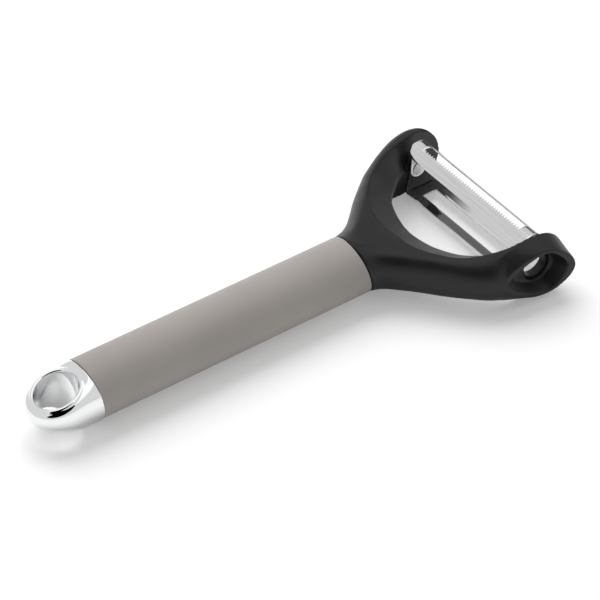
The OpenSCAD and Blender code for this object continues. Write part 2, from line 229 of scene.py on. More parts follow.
# %% [markdown]
# ## Finishes
# Every finish is a node material on Object coordinates, so a pattern keeps its real size in
# metres. A painted image would need a flat map of each piece and would blur up close, while a
# noise has no seams and any detail that is asked for. One noise varies the colour, one the
# roughness, and one feeds a bump for grain that is too fine to model.

# %% Material helpers
RAMP_START, RAMP_END = 0.3, 0.7


def new_material(name, **values):
    """A node material, with values for the sockets of its shader."""
    material = bpy.data.materials.new(name)
    material.use_nodes = True
    shader = material.node_tree.nodes["Principled BSDF"]
    for socket, value in values.items():
        shader.inputs[socket.replace("_", " ")].default_value = value
    return material, material.node_tree, shader


def add_noise(tree, scale, detail, stretch=(1, 1, 1)):
    """A noise on Object coordinates, drawn out along the axes where a number is small."""
    place = tree.nodes.new("ShaderNodeTexCoord")
    mapping = tree.nodes.new("ShaderNodeMapping")
    mapping.inputs["Scale"].default_value = stretch
    noise = tree.nodes.new("ShaderNodeTexNoise")
    noise.inputs["Scale"].default_value = scale
    noise.inputs["Detail"].default_value = detail
    tree.links.new(place.outputs["Object"], mapping.inputs["Vector"])
    tree.links.new(mapping.outputs["Vector"], noise.inputs["Vector"])
    return noise.outputs["Fac"]


def vary(tree, shader, socket, noise, low, high):
    """Lets a noise move a colour or a number of the shader between two ends."""
    ramp = tree.nodes.new("ShaderNodeValToRGB")
    colours = [v if isinstance(v, tuple) else (v, v, v) for v in (low, high)]
    for element, position, colour in zip(ramp.color_ramp.elements, (RAMP_START, RAMP_END), colours):
        element.position = position
        element.color = (*colour, 1)
    tree.links.new(noise, ramp.inputs["Fac"])
    tree.links.new(ramp.outputs["Color"], shader.inputs[socket])


def add_bump(tree, shader, noise, height, strength):
    """A bump whose height is given in millimetres."""
    bump = tree.nodes.new("ShaderNodeBump")
    bump.inputs["Distance"].default_value = height * MM
    bump.inputs["Strength"].default_value = strength
    tree.links.new(noise, bump.inputs["Height"])
    tree.links.new(bump.outputs["Normal"], shader.inputs["Normal"])


print("material helpers ready")

# %% [markdown]
# The head is a satin black moulding. It is nearly black, with the fine spark-eroded grain of its
# mould in the bump, and slow changes of gloss where hands and water have been. An even black
# would look like a hole in the picture, since only grain and gloss show the form of a black
# thing.

# %% Satin black moulding
head_plastic, tree, shader = new_material("satin_black_moulding", Specular_IOR_Level=0.36)
vary(tree, shader, "Base Color", add_noise(tree, scale=60, detail=3),
     low=(0.0065, 0.0065, 0.007), high=(0.0095, 0.0095, 0.010))
vary(tree, shader, "Roughness", add_noise(tree, scale=140, detail=4), low=0.36, high=0.46)
add_bump(tree, shader, add_noise(tree, scale=5000, detail=2), height=0.012, strength=0.5)
print(head_plastic.name)

# %% [markdown]
# The grip is a warm grey soft-touch rubber. It is matt, but its skin has a faint velvet lift at
# the edges, which roughness alone can't give and the Sheen of the shader can, and a grain so fine
# that it only breaks up the highlight.

# %% Soft-touch grip
grip_rubber, tree, shader = new_material(
    "soft_touch_grip", Sheen_Weight=0.15, Sheen_Roughness=0.4, Specular_IOR_Level=0.35)
vary(tree, shader, "Base Color", add_noise(tree, scale=35, detail=4),
     low=(0.318, 0.294, 0.273), high=(0.337, 0.313, 0.292))
vary(tree, shader, "Roughness", add_noise(tree, scale=220, detail=3), low=0.6, high=0.72)
add_bump(tree, shader, add_noise(tree, scale=3500, detail=3), height=0.02, strength=0.5)
print(grip_rubber.name)

# %% [markdown]
# The cap is chromed: a mirror with the slightest haze. A perfect mirror looks like a drawing, so
# the roughness varies a little with a slow noise, as fingers leave it.

# %% Polished chrome
cap_chrome, tree, shader = new_material(
    "polished_chrome", Metallic=1.0, Base_Color=(0.86, 0.865, 0.87, 1))
vary(tree, shader, "Roughness", add_noise(tree, scale=90, detail=3), low=0.03, high=0.07)
print(cap_chrome.name)

# %% [markdown]
# The blades are rolled stainless strip. Rolling leaves streaks along the strip, so its noise is
# drawn out along Y, the length of the blades. One ear is painted near black for the shade it
# hangs in, and the far pin is turned and duller. A plain dark plastic is for the core.

# %% Steels and core plastic
blade_steel, tree, shader = new_material("rolled_steel", Metallic=1.0)
streaks = add_noise(tree, scale=2200, detail=3, stretch=(1, 0.02, 1))
vary(tree, shader, "Base Color", streaks, low=(0.70, 0.70, 0.705), high=(0.80, 0.80, 0.805))
vary(tree, shader, "Roughness", streaks, low=0.06, high=0.12)
add_bump(tree, shader, streaks, height=0.001, strength=0.3)

# Painted shade: a near-black steel for the far ear of the plain blade, which hangs in deep shadow
# by the thin arm.
painted_shade_steel, tree, shader = new_material("ear_painted_shade", Metallic=0.6)
vary(tree, shader, "Base Color", add_noise(tree, scale=900, detail=4),
     low=(0.008, 0.008, 0.008), high=(0.03, 0.03, 0.03))
vary(tree, shader, "Roughness", add_noise(tree, scale=700, detail=2), low=0.3, high=0.5)

pivot_steel, tree, shader = new_material("turned_pivot_steel", Metallic=1.0)
turned = add_noise(tree, scale=1800, detail=2, stretch=(1, 0.3, 1))
vary(tree, shader, "Base Color", turned, low=(0.58, 0.58, 0.59), high=(0.68, 0.68, 0.69))
vary(tree, shader, "Roughness", turned, low=0.25, high=0.4)

core_plastic, tree, shader = new_material("core_plastic")
vary(tree, shader, "Base Color", add_noise(tree, scale=300, detail=2),
     low=(0.02, 0.02, 0.02), high=(0.03, 0.03, 0.03))
vary(tree, shader, "Roughness", add_noise(tree, scale=500, detail=2), low=0.6, high=0.8)
print("ready:", blade_steel.name, painted_shade_steel.name, pivot_steel.name, core_plastic.name)

# %% [markdown]
# ## The fork head
# The real head is one black moulding: a round neck that spreads into a flat shoulder and two arms
# with rounded ends. It could be pulled out of a block by subdivision modelling, but its outline
# is known from the photograph point by point, so a skin over rounded rectangular sections is
# surer. Each section has its half height, its reach to the thin arm and to the thick arm, and the
# size of its rounded corners. All are tables over the distance from the grip, in millimetres.

# %% Tables of the head
HALF_HEIGHT = [(0, 11), (4, 9.5), (8, 8.5), (12, 8.1), (16, 8.0), (24, 8.05), (28, 8.3), (31, 8.8),
               (34, 9.6), (37.5, 10.6), (41, 11.6), (45, 12.3), (48, 12.5), (50.3, 12.5)]
THIN_SIDE = [(0, 11), (3.7, 12.5), (7, 14.7), (10, 17.1), (13.7, 20.5), (17.5, 24.2), (21.8, 27.9),
             (25.5, 30.7), (29.2, 33.1), (35.8, 35.4), (43, 36.9), (48, 37.6), (50.3, 37.7)]
THICK_SIDE = [(0, 11), (3.7, 12.7), (6.5, 15.0), (9, 17.5), (13.5, 22.5), (18, 27.9), (22.5, 33.2),
              (27.6, 38.1), (31, 40.4), (34, 41.4), (38, 41.6), (42, 41.4), (50.3, 41.0)]
THIN_ROUND = [(0, 11), (4, 9.4), (8, 8.5), (14, 8), (21.8, 7.8), (29, 6), (36, 4.5), (43, 3.3),
              (50.3, 3.0)]
THIN_ROUND_HEIGHT = [(0, 11), (4, 9.5), (8, 8.5), (14, 8.05), (21.8, 8.0), (29, 7.0), (36, 5),
                     (43, 3.5), (50.3, 3.0)]
THICK_ROUND = [(0, 11), (4, 9.4), (8, 8.5), (14, 8), (18, 8), (22.5, 8.5), (27.6, 9), (34, 9),
               (38, 7.5), (42, 6), (50.3, 4.6)]
TABLE_STEPS = 6

height_row, thin_row, thick_row = (
    smooth_row(table, TABLE_STEPS) for table in (HALF_HEIGHT, THIN_SIDE, THICK_SIDE))
print("the height table was rounded from", len(HALF_HEIGHT), "to", len(height_row), "entries")

# %% [markdown]
# A section is a rounded rectangle. Its corners are quarter ellipses, not quarter circles, because
# the width and the height of the rounding change separately along the arms. The straight
# stretches between them get points too, so every section has the same number of points and the
# faces of the skin stay nearly square.

# %% Sections of the head
CORNER_STEPS = 10
FLAT_STEPS = 6


def corner(out_y, half_height, wide, high, start):
    """A quarter of an ellipse in the section's corner, from an angle in degrees onwards."""
    side = 1 if out_y > 0 else -1
    rise = 1 if start < 180 else -1
    points = []
    for i in range(CORNER_STEPS + 1):
        a = math.radians(start + 90 * i / CORNER_STEPS)
        points.append((out_y - side * wide + wide * math.cos(a),
                       rise * (half_height - high) + high * math.sin(a)))
    return points


def head_section(x):
    """The section's points, anticlockwise from the thin side, as (y, z)."""
    half_height, thin, thick = (value_at(t, x) for t in (height_row, thin_row, thick_row))
    thin_wide, thick_wide = value_at(THIN_ROUND, x), value_at(THICK_ROUND, x)
    thin_high = min(value_at(THIN_ROUND_HEIGHT, x), half_height)
    corners = [corner(thin, half_height, thin_wide, thin_high, 0),
               corner(-thick, half_height, thick_wide, half_height, 90),
               corner(-thick, half_height, thick_wide, half_height, 180),
               corner(thin, half_height, thin_wide, thin_high, 270)]
    section = []
    for here, after in zip(corners, corners[1:] + corners[:1]):
        section += here
        (y0, z0), (y1, z1) = here[-1], after[0]
        section += [(y0 + (y1 - y0) * i / FLAT_STEPS, z0 + (z1 - z0) * i / FLAT_STEPS)
                    for i in range(1, FLAT_STEPS)]
    return section


print("a head section has", len(head_section(20)), "points")

# %% [markdown]
# The first ring is raked, because grip and head meet in a slanted plane. After the pivot axis
# both arms end in half circles, so the upper half of the last section is turned about the pivot
# axis. A voxel remesh then melts both skins into one.

# %% Skin over the sections
HEAD_RAKE = math.radians(11.6)
RAKE_BLEND = 9.0
STATION_COUNT = 100
TURN_STEPS = 48
OVERLAP = 0.5


def head_ring(x):
    """A section set in place. Near the grip it leans, and further on it stands upright."""
    rake = math.tan(HEAD_RAKE) * max(0, 1 - x / RAKE_BLEND)
    return [(NECK_X + x - rake * z, y, z) for y, z in head_section(x)]


stations = [REACH_TO_PIVOT * i / STATION_COUNT for i in range(STATION_COUNT + 1)]
head = skin("head_body", [head_ring(x) for x in stations])

upper = [(y, z) for y, z in head_section(REACH_TO_PIVOT) if z > -SAME_POINT]
upper = sorted(upper, key=lambda point: math.atan2(point[1], point[0]))
base_line = [(PIVOT_X - OVERLAP, upper[-1][0], 0), (PIVOT_X - OVERLAP, upper[0][0], 0)]
turned_rings = []
for i in range(TURN_STEPS + 1):
    a = math.pi * i / TURN_STEPS
    turned_rings.append(
        [(PIVOT_X + z * math.sin(a), y, z * math.cos(a)) for y, z in upper] + base_line)
arm_ends = skin("arm_ends", turned_rings)
print("head", len(head.data.vertices), "arm ends", len(arm_ends.data.vertices))
combine(head, arm_ends, "UNION")
melt(head, voxel=0.4)
print("outer form", len(head.data.vertices), "points")

# %% [markdown]
# The opening between the arms is narrowest at mid height and flares towards the top and bottom
# faces, so peel slides out of it. A straight cut with a bevel would give every wall the same
# slope, and the real slopes differ all round. So the cutter is a skin over six outlines. The two
# in the middle follow the edge of the web, and the outer ones are stretched until they pass
# through the crease that the flare makes with the top face. Each row gives x and y of the mid
# edge, then x, y and height of the crease point that belongs to it.

# %% Cut the fork's opening
WEB_EDGE_HALF_H = 1.3
CUT_MIDWAY = 7
CUT_HEIGHT = 14.0
OUTLINE_STEPS = 4
THIN_FLARE = [
    (25.7, 4.5, 15.2, 4.0, 8.0), (26.9, 9.3, 15.9, 9.0, 8.0), (28.2, 13.1, 17.6, 13.5, 8.0),
    (29.8, 16.8, 19.6, 17.5, 8.0), (31.4, 19.3, 22.0, 21.2, 8.0), (34.2, 22.2, 25.0, 24.6, 8.1),
    (37.5, 25.0, 28.5, 27.5, 8.4), (40.5, 27.6, 32.1, 29.5, 9.1), (43.2, 29.5, 36.2, 31.0, 10.2),
    (46.0, 31.2, 40.5, 31.7, 11.4), (49.0, 32.3, 45.0, 32.3, 12.2), (52.0, 32.7, 49.4, 32.8, 12.5),
    (56.0, 33.0, 55.0, 33.1, 12.5), (70.0, 33.2, 70.0, 33.2, 12.5)]
THICK_FLARE = [
    (25.7, -4.5, 15.5, -5.0, 8.0), (26.7, -9.3, 16.0, -10.8, 8.0), (28.2, -13.1, 17.3, -15.2, 8.0),
    (30.0, -16.5, 19.1, -18.5, 8.0), (32.1, -19.5, 21.1, -21.6, 8.0),
    (34.7, -21.9, 23.6, -25.0, 8.0), (37.6, -24.0, 27.0, -28.2, 8.2),
    (40.0, -27.0, 30.9, -30.6, 8.8), (41.4, -30.5, 34.2, -32.5, 9.6),
    (42.0, -34.6, 37.3, -34.1, 10.5), (42.8, -36.4, 40.7, -35.5, 11.5),
    (48.0, -36.5, 45.0, -36.1, 12.3), (52.0, -36.5, 52.0, -36.4, 12.5),
    (70.0, -36.5, 70.0, -36.4, 12.5)]
MIDDLE = (25.3, 0.0, 15.2, 0.0, 8.0)


def flare_ring(z):
    """The opening's outline at a height, as (x, y, z) points."""
    ring = []
    for mid_x, mid_y, crease_x, crease_y, crease_z in THICK_FLARE[::-1] + [MIDDLE] + THIN_FLARE:
        share = max(0, (abs(z) - WEB_EDGE_HALF_H) / (crease_z - WEB_EDGE_HALF_H))
        ring.append((NECK_X + mid_x + (crease_x - mid_x) * share,
                     mid_y + (crease_y - mid_y) * share, z))
    return smooth_row(ring, OUTLINE_STEPS)


levels = [-CUT_HEIGHT, -CUT_MIDWAY, -WEB_EDGE_HALF_H, WEB_EDGE_HALF_H, CUT_MIDWAY, CUT_HEIGHT]
combine(head, skin("opening", [flare_ring(z) for z in levels]), "DIFFERENCE")
print("opening cut,", len(head.data.vertices), "points")

# %% [markdown]
# The thick arm carries the eye remover: a boat-shaped bulge whose rim rises along the arm into a
# beak at its end. Inside the rim a scoop is cut, down to a floor with the bore of the hollow
# pivot bush in it. A stretched ball would be quicker, but its rim would be even, and this one
# lies in a slanted plane. So both are skins over almond outlines, given as half heights.

# %% The boat and its scoop
RIM_Y = [(27, 41.0), (34.6, 41.3), (42, 42.1), (50, 43.0), (55, 43.9), (59, 44.9), (63, 45.8)]
BOAT_RIM = [(33.4, 0), (34.6, 2.6), (36.5, 4.8), (40, 6.8), (44, 8.4), (47, 9.3), (50.3, 9.6),
            (54, 8.8), (56.8, 7.3), (59.4, 5.1), (61.2, 2.7), (61.9, 0)]
BOAT_FOOT = [(28, 0), (29, 4.0), (31, 6.4), (34.5, 8.8), (39, 10.9), (44, 12.0), (50.3, 12.5),
             (55, 11.6), (58.6, 9.35), (61.2, 6.1), (62.5, 2.9), (62.8, 0)]
SCOOP_RIM = [(35.2, 0), (36.2, 1.9), (37.8, 3.3), (40.6, 5.1), (44, 6.8), (47, 7.9), (50.3, 8.4),
             (53.4, 7.6), (55.6, 5.9), (57.4, 3.8), (58.6, 1.9), (59.1, 0)]
SCOOP_FLOOR = [(39.9, 0), (40.6, 1.2), (42, 2.4), (44, 3.7), (46.2, 4.9), (48.4, 5.6), (50.4, 5.9),
               (52.6, 5.7), (54.3, 4.8), (55.8, 3.3), (56.7, 1.6), (57.1, 0)]
BOAT_FOOT_Y = -36.5
SCOOP_FLOOR_Y = -38.3
SCOOP_LIFT = 2.0


def rim_y(x, lift=0.0):
    """The slanted plane of the bulge's rim, or a plane further out by the lift."""
    return -(value_at(RIM_Y, x) + lift)


def almond(table, depth):
    """A closed outline in X and Z, at a depth that may depend on x."""
    row = smooth_row(table, OUTLINE_STEPS)
    ring = [(x, z) for x, z in row] + [(x, -z) for x, z in reversed(row[1:-1])]
    return [(NECK_X + x, depth(x), z) for x, z in ring]


boat = skin("boat", [almond(BOAT_FOOT, lambda x: BOAT_FOOT_Y), almond(BOAT_RIM, rim_y)])
combine(head, boat, "UNION")
scoop = skin("scoop", [almond(SCOOP_RIM, lambda x: rim_y(x, SCOOP_LIFT)), almond(SCOOP_RIM, rim_y),
                       almond(SCOOP_FLOOR, lambda x: SCOOP_FLOOR_Y)])
combine(head, scoop, "DIFFERENCE")
print("scoop cut,", len(head.data.vertices), "points")

# %% [markdown]
# Round details are plain cylinders: the boss that carries the far pin, the bore of the pin, the
# bore of the bush, and the tang that holds the head in the handle. A cylinder is added at its
# size and turned on its side, and its turn is applied before it joins in. The last remesh rounds
# all inner corners a little, as a mould does.

# %% Boss, bores and tang
TANG_RADIUS = 6.5
ROUND_SIDES = 96


def settle(name):
    """Names the new primitive and applies its place and turn to its mesh."""
    piece = bpy.context.object
    piece.name = name
    bpy.ops.object.transform_apply(location=True, rotation=True, scale=True)
    return piece


def rod(name, axis, radius, start, end, centre=(0, 0)):
    """A cylinder along X, Y or Z between two places, in millimetres."""
    middle, depth = (start + end) / 2, abs(end - start)
    turn = {"X": (0, math.pi / 2, 0), "Y": (math.pi / 2, 0, 0), "Z": (0, 0, 0)}[axis]
    place = {"X": (middle, *centre), "Y": (centre[0], middle, centre[1]), "Z": (*centre, middle)}
    clear_selection()
    bpy.ops.mesh.primitive_cylinder_add(
        vertices=ROUND_SIDES, radius=radius * MM, depth=depth * MM,
        location=Vector(place[axis]) * MM, rotation=turn)
    return settle(name)


def pivot_rod(name, radius, start, end):
    """A cylinder on the pivot axis."""
    return rod(name, "Y", radius, start, end, centre=(PIVOT_X, 0))


combine(head, pivot_rod("boss", radius=3.4, start=30.6, end=34.5), "UNION")
combine(head, pivot_rod("pin_bore", radius=1.6, start=29.5, end=35.2), "DIFFERENCE")
combine(head, pivot_rod("bush_bore", radius=5.5, start=-39.5, end=-35.0), "DIFFERENCE")
combine(head, rod("tang", "X", TANG_RADIUS, start=NECK_X - 20, end=NECK_X + 6), "UNION")
melt(head, voxel=0.36, smooth_steps=3)
smooth_by_angle(head, 180)
head.name = "head_moulding"
finish_piece(head, "handle", "head_plastic", head_plastic, "fork_head")

# %% [markdown]
# ## The grip
# The grip is a slightly tapering tube. A skin over rings could make it, but a cone is already its
# form: it is added at its size, laid along X, and bisected in the two slanted planes where it
# meets head and cap. The bore is cut out, and the end edges get a small bevel, because moulded
# rubber never has a sharp edge.

# %% Grip sleeve
TAIL_RAKE = math.radians(8.7)
CAP_JOINT_X = 11.7
HEAD_GROOVE = 0.35
CAP_GROOVE = 0.1
GRIP_TAIL_RADIUS = 11.33
GRIP_HEAD_RADIUS = 10.98
GRIP_BORE = 9.25
GRIP_SIDES = 160
GRIP_SPARE = 12


def trim(piece, x, rake, keep_tail):
    """Cuts the piece in a slanted plane across the handle and closes the cut."""
    pick(piece)
    bpy.ops.object.mode_set(mode="EDIT")
    bpy.ops.mesh.select_all(action="SELECT")
    bpy.ops.mesh.bisect(
        plane_co=Vector((x, 0, 0)) * MM, plane_no=(math.cos(rake), 0, math.sin(rake)),
        use_fill=True, clear_outer=keep_tail, clear_inner=not keep_tail)
    bpy.ops.object.mode_set(mode="OBJECT")


clear_selection()
bpy.ops.mesh.primitive_cone_add(
    vertices=GRIP_SIDES, radius1=GRIP_TAIL_RADIUS * MM, radius2=GRIP_HEAD_RADIUS * MM,
    depth=(NECK_X - CAP_JOINT_X + GRIP_SPARE) * MM,
    location=(((NECK_X + CAP_JOINT_X) / 2) * MM, 0, 0), rotation=(0, math.pi / 2, 0))
grip = settle("grip_skin")
trim(grip, NECK_X - HEAD_GROOVE, HEAD_RAKE, keep_tail=True)
trim(grip, CAP_JOINT_X + CAP_GROOVE, TAIL_RAKE, keep_tail=False)
combine(grip, rod("grip_bore", "X", GRIP_BORE, start=0, end=NECK_X + 10), "DIFFERENCE")
break_edges(grip, width=0.25, segments=3, sharp_from=40, smooth_to=35)
finish_piece(grip, "handle", "grip_rubber", grip_rubber, "grip_sleeve")

# %% [markdown]
# ## The end cap
# The chromed cap is a bullet whose height starts to round off earlier than its width. A scaled
# ball on a cylinder would show a line in the mirror where the two meet, so the cap is a skin
# over ellipses that lie closer together towards the tail.

# %% Cap body
CAP_RADIUS = 11.5
TAIL_X = -11.2
TIP_RADIUS = 0.02
WIDTH_ROUNDS_FROM = 2.0
HEIGHT_ROUNDS_FROM = 5.0
CAP_SPARE = 5
CAP_RINGS = 60
CAP_SIDES = 120


def dome(x, start):
    """Half width or half height of the cap, which rounds off from start to the tail."""
    run = max(0, (start - x) / (start - TAIL_X))
    return max(TIP_RADIUS, CAP_RADIUS * math.sqrt(max(0, 1 - run * run)))


cap_rings = []
around = [math.radians(360 * i / CAP_SIDES) for i in range(CAP_SIDES)]
for i in range(CAP_RINGS + 1):
    share = 1 - math.cos(math.radians(90 * i / CAP_RINGS))
    x = TAIL_X + (CAP_JOINT_X + CAP_SPARE - TAIL_X) * share
    wide, high = dome(x, WIDTH_ROUNDS_FROM), dome(x, HEIGHT_ROUNDS_FROM)
    cap_rings.append([(x, wide * math.cos(a), high * math.sin(a)) for a in around])
cap = skin("cap", cap_rings)
print("cap body", len(cap.data.vertices), "points")

# %% [markdown]
# A sloping cut with a hollow fillet gives the top face. Its cutter is the cut's profile, seen
# from the side, drawn straight across the cap. On real chrome every edge is soft, because it was
# polished before plating, so the cut cap is remeshed and relaxed in many steps. The joint with
# the grip is trimmed after that, to stay crisp.

# %% Sloping face
FACE_Z = 5.54
FACE_SLOPE = 0.33
FACE_WALL_X = 10.1
FILLET = 5.0
FILLET_STEPS = 12
CUT_REACH = 16

slope_angle = math.atan(FACE_SLOPE)
centre_x = FACE_WALL_X - FILLET
centre_z = FACE_Z + FACE_SLOPE * centre_x + FILLET / math.cos(slope_angle)
cut_profile = [(-CUT_REACH, FACE_Z - CUT_REACH * FACE_SLOPE)]
for i in range(FILLET_STEPS + 1):
    a = slope_angle - math.pi / 2 + (math.pi / 2 - slope_angle) * i / FILLET_STEPS
    cut_profile.append((centre_x + FILLET * math.cos(a), centre_z + FILLET * math.sin(a)))
cut_profile += [(FACE_WALL_X, CUT_REACH), (-CUT_REACH, CUT_REACH)]
cap_cut = skin("cap_cut", [[(x, y, z) for x, z in cut_profile] for y in (-CUT_REACH, CUT_REACH)])
combine(cap, cap_cut, "DIFFERENCE")
melt(cap, voxel=0.35, smooth_steps=160)
trim(cap, CAP_JOINT_X, TAIL_RAKE, keep_tail=True)
print("face cut and relaxed,", len(cap.data.vertices), "points")

# %% [markdown]
# The hanging hole goes straight down through the sloping face, with a rounded bead as its lip. A
# bevel on the hole's edge would only cut it back, so the bead is a ring of its own, tilted to lie
# in the face, and joined in before the hole is cut. The spigot holds the cap in the handle.

# %% Spigot, lip and hole
HOLE_RADIUS = 7.7
LIP_RADIUS = 0.8
LIP_OUTWARDS = 0.75
LIP_SINK = 0.35

combine(cap, rod("cap_spigot", "X", TANG_RADIUS, start=9.0, end=CAP_JOINT_X + 22), "UNION")
clear_selection()
bpy.ops.mesh.primitive_torus_add(
    major_radius=(HOLE_RADIUS + LIP_OUTWARDS) * MM, minor_radius=LIP_RADIUS * MM,
    major_segments=128, minor_segments=24)
lip = bpy.context.object
for vertex in lip.data.vertices:
    vertex.co.z += (FACE_Z - LIP_SINK) * MM + FACE_SLOPE * vertex.co.x
combine(cap, lip, "UNION")
combine(cap, rod("hole", "Z", HOLE_RADIUS, start=-14, end=14), "DIFFERENCE")
melt(cap, voxel=0.205, smooth_steps=6)
smooth_by_angle(cap, 180)
cap.name = "chrome_cap"
finish_piece(cap, "handle", "cap_chrome", cap_chrome, "end_cap")

# %% [markdown]
# ## The blades
# Each blade is one pressed strip of steel, 0.6 mm thick, with a slot along it. It could be cut
# from a block, but a bent strip is easiest as a grid: its rows follow the strip's section and its
# columns its length. The faces of the slot are left out, and Solidify gives the thickness. The
# slot's first row is the cutting edge, and it gets a quarter of the thickness, as grinding
# leaves it.

# %% A strip of steel
STEEL = 0.6
EDGE_SHARE = 0.25
END_ROUND = 0.4


def rounding(y, near, far, radius):
    """How far an end rounded to that radius falls back, at a place between near and far."""
    into_end = max(0.0, y - (far - radius), (near + radius) - y)
    return radius - math.sqrt(max(0.0, radius ** 2 - into_end ** 2))


def strip(name, section, columns, slot_rows, slot_columns, shift, down):
    """A bent, slotted strip. section is (x, z) from the pivot, columns are places along Y, and
    down is 1 where the strip's rounded ends turn down, or -1 where they turn up."""
    points, edge_points = [], set()
    for j, y in enumerate(columns):
        drop = down * rounding(y, columns[0], columns[-1], END_ROUND)
        for i, (x, z) in enumerate(section):
            dx, dz = shift(i, j)
            points.append(Vector((PIVOT_X + x + dx, y, z + dz - drop)) * MM)
            if i == slot_rows[0] and slot_columns[0] <= j <= slot_columns[1]:
                edge_points.add(len(points) - 1)
    rows = len(section)
    faces = [(j * rows + i, j * rows + i + 1, (j + 1) * rows + i + 1, (j + 1) * rows + i)
             for j in range(len(columns) - 1) for i in range(rows - 1)
             if not (slot_rows[0] <= i < slot_rows[1] and slot_columns[0] <= j < slot_columns[1])]
    mesh = bpy.data.meshes.new(name)
    mesh.from_pydata(points, [], faces)
    piece = add_object(name, mesh)
    thick = piece.vertex_groups.new(name="thick")
    thick.add([n for n in range(len(points)) if n not in edge_points], 1.0, "REPLACE")
    thick.add(sorted(edge_points), EDGE_SHARE, "REPLACE")
    add_modifier(piece, "SOLIDIFY", thickness=STEEL * MM, offset=-1.0, vertex_group="thick",
                 use_even_offset=True)
    mend_normals(piece)
    return piece


print("strip helper ready")

# %% [markdown]
# Both blades use the same columns at their ends: close together where the strip's end is
# rounded, wider on the bridge, and close again beside the slot. What lies in the slot differs.

# %% Columns along a blade
NEAR_END = -35.9
FAR_END = 29.3
SLOT_NEAR = -30.3
SLOT_FAR = 24.4
SLOT_MARGIN = 0.6
NEAR_BRIDGE = -32.0
FAR_BRIDGE = 26.5
END_STEPS = [0, 0.15, 0.4, 0.75, 1.2, 1.8, 2.4]
CORNER_ROUND = 2.0


def blade_columns(near, far, in_slot):
    """The blade's columns, and the numbers of the two that end its slot."""
    columns = ([near + step for step in END_STEPS]
               + [NEAR_BRIDGE, SLOT_NEAR - SLOT_MARGIN, SLOT_NEAR] + in_slot
               + [SLOT_FAR, SLOT_FAR + SLOT_MARGIN, FAR_BRIDGE]
               + [far - step for step in reversed(END_STEPS)])
    return columns, (columns.index(SLOT_NEAR), columns.index(SLOT_FAR))


def corner_pull(x, y, ends, inside, side):
    """Rounds the strip's corners: the pull is full at its side and fades to nothing inside."""
    share = max(0.0, (abs(x) - inside) / (side - inside))
    return rounding(y, *ends, CORNER_ROUND) * share


print("slot from", SLOT_NEAR, "to", SLOT_FAR, "mm")

# %% [markdown]
# The upper blade is arched. Both flanks rise at 51 degrees to a crown, and the slot lies in the
# crown, with 43 teeth along the side that is nearer to the handle. The teeth aren't cut one by
# one: there are two columns to each tooth, and the edge row steps out at every second column.

# %% Serrated blade
TOOTH_PITCH = 1.27
TOOTH_DEPTH = 1.1
TOOTH_DROP = 0.24
CROWN_EDGE = 2.46
ARCH_SIDE = 5.15
FLANK_SLOPE = 1.23
ARCH = [(-5.15, 8.26), (-4.2, 9.43), (-3.3, 10.55), (-2.75, 11.22), (-2.46, 11.5), (-2.15, 11.68),
        (-1.0, 11.95), (-0.3, 12.03), (0.6, 12.03), (1.5, 11.88), (2.15, 11.68), (2.46, 11.5),
        (2.75, 11.22), (3.3, 10.55), (4.2, 9.43), (5.15, 8.26)]
ARCH_SLOT_ROWS = (6, 10)

tooth_count = int((SLOT_FAR - SLOT_NEAR) / TOOTH_PITCH)
first_tooth = (SLOT_FAR + SLOT_NEAR - tooth_count * TOOTH_PITCH) / 2
tooth_columns = [first_tooth + i * TOOTH_PITCH / 2 for i in range(2 * tooth_count + 1)]
arch_columns, arch_slot = blade_columns(NEAR_END, FAR_END, tooth_columns)


def arch_shift(i, j):
    """Steps the teeth row in and out, and rounds the strip's four corners."""
    slot_start, slot_end = arch_slot
    if i == ARCH_SLOT_ROWS[0] and slot_start < j < slot_end and (j - slot_start) % 2 == 0:
        return -TOOTH_DEPTH, -TOOTH_DROP
    x = ARCH[i][0]
    pull = corner_pull(x, arch_columns[j], (NEAR_END, FAR_END), CROWN_EDGE, ARCH_SIDE)
    return -math.copysign(pull, x), pull * FLANK_SLOPE


serrated = strip("serrated_strip", ARCH, arch_columns, ARCH_SLOT_ROWS, arch_slot, arch_shift,
                 down=1.0)
print("teeth", tooth_count, "points", len(serrated.data.vertices))

# %% [markdown]
# Under each end of a blade stands an ear, a small plate that reaches to the pivot axis. On the
# real strip it is bent down in one piece. Here it is a flat outline with a bore, drawn out to the
# steel's thickness along Y and joined on, because a fold of the grid would drag the slot along.

# %% Ears
FAR_EAR_RADIUS, FAR_EAR_BORE = 3.3, 1.55
NEAR_EAR_RADIUS, NEAR_EAR_BORE = 7.0, 5.45
EAR_STEPS = 32


def ear_outline(radius, top_half, top_z, centre_x=0.0):
    """From the top corners down to a half circle round the pivot axis, as (x, z)."""
    side = 1 if top_z > 0 else -1
    arc = []
    for i in range(EAR_STEPS + 1):
        a = math.radians(180 * i / EAR_STEPS)
        arc.append((radius * math.cos(a), -side * radius * math.sin(a)))
    return [(centre_x + top_half, top_z)] + arc + [(centre_x - top_half, top_z)]


def add_ear(blade, outline, start, bore, finish=None):
    """Joins a bored ear to the blade. It is as thick as the steel, from start onwards."""
    end = start + STEEL
    ear = skin("ear", [[(PIVOT_X + x, y, z) for x, z in outline] for y in (start, end)])
    if finish:
        ear.data.materials.append(finish)
    combine(ear, pivot_rod("ear_bore", bore, start - 1, end + 1), "DIFFERENCE")
    pick(blade)
    ear.select_set(True)
    bpy.ops.object.join()


add_ear(serrated, ear_outline(FAR_EAR_RADIUS, top_half=2.6, top_z=10.9), FAR_END - STEEL,
        FAR_EAR_BORE)
add_ear(serrated, ear_outline(NEAR_EAR_RADIUS, top_half=3.4, top_z=10.0), NEAR_END, NEAR_EAR_BORE)
break_edges(serrated, width=0.05, segments=2, sharp_from=50, smooth_to=30)
serrated.name = "serrated_blade_strip"
finish_piece(serrated, "blade_unit", "blade_steel", blade_steel, "serrated_blade")
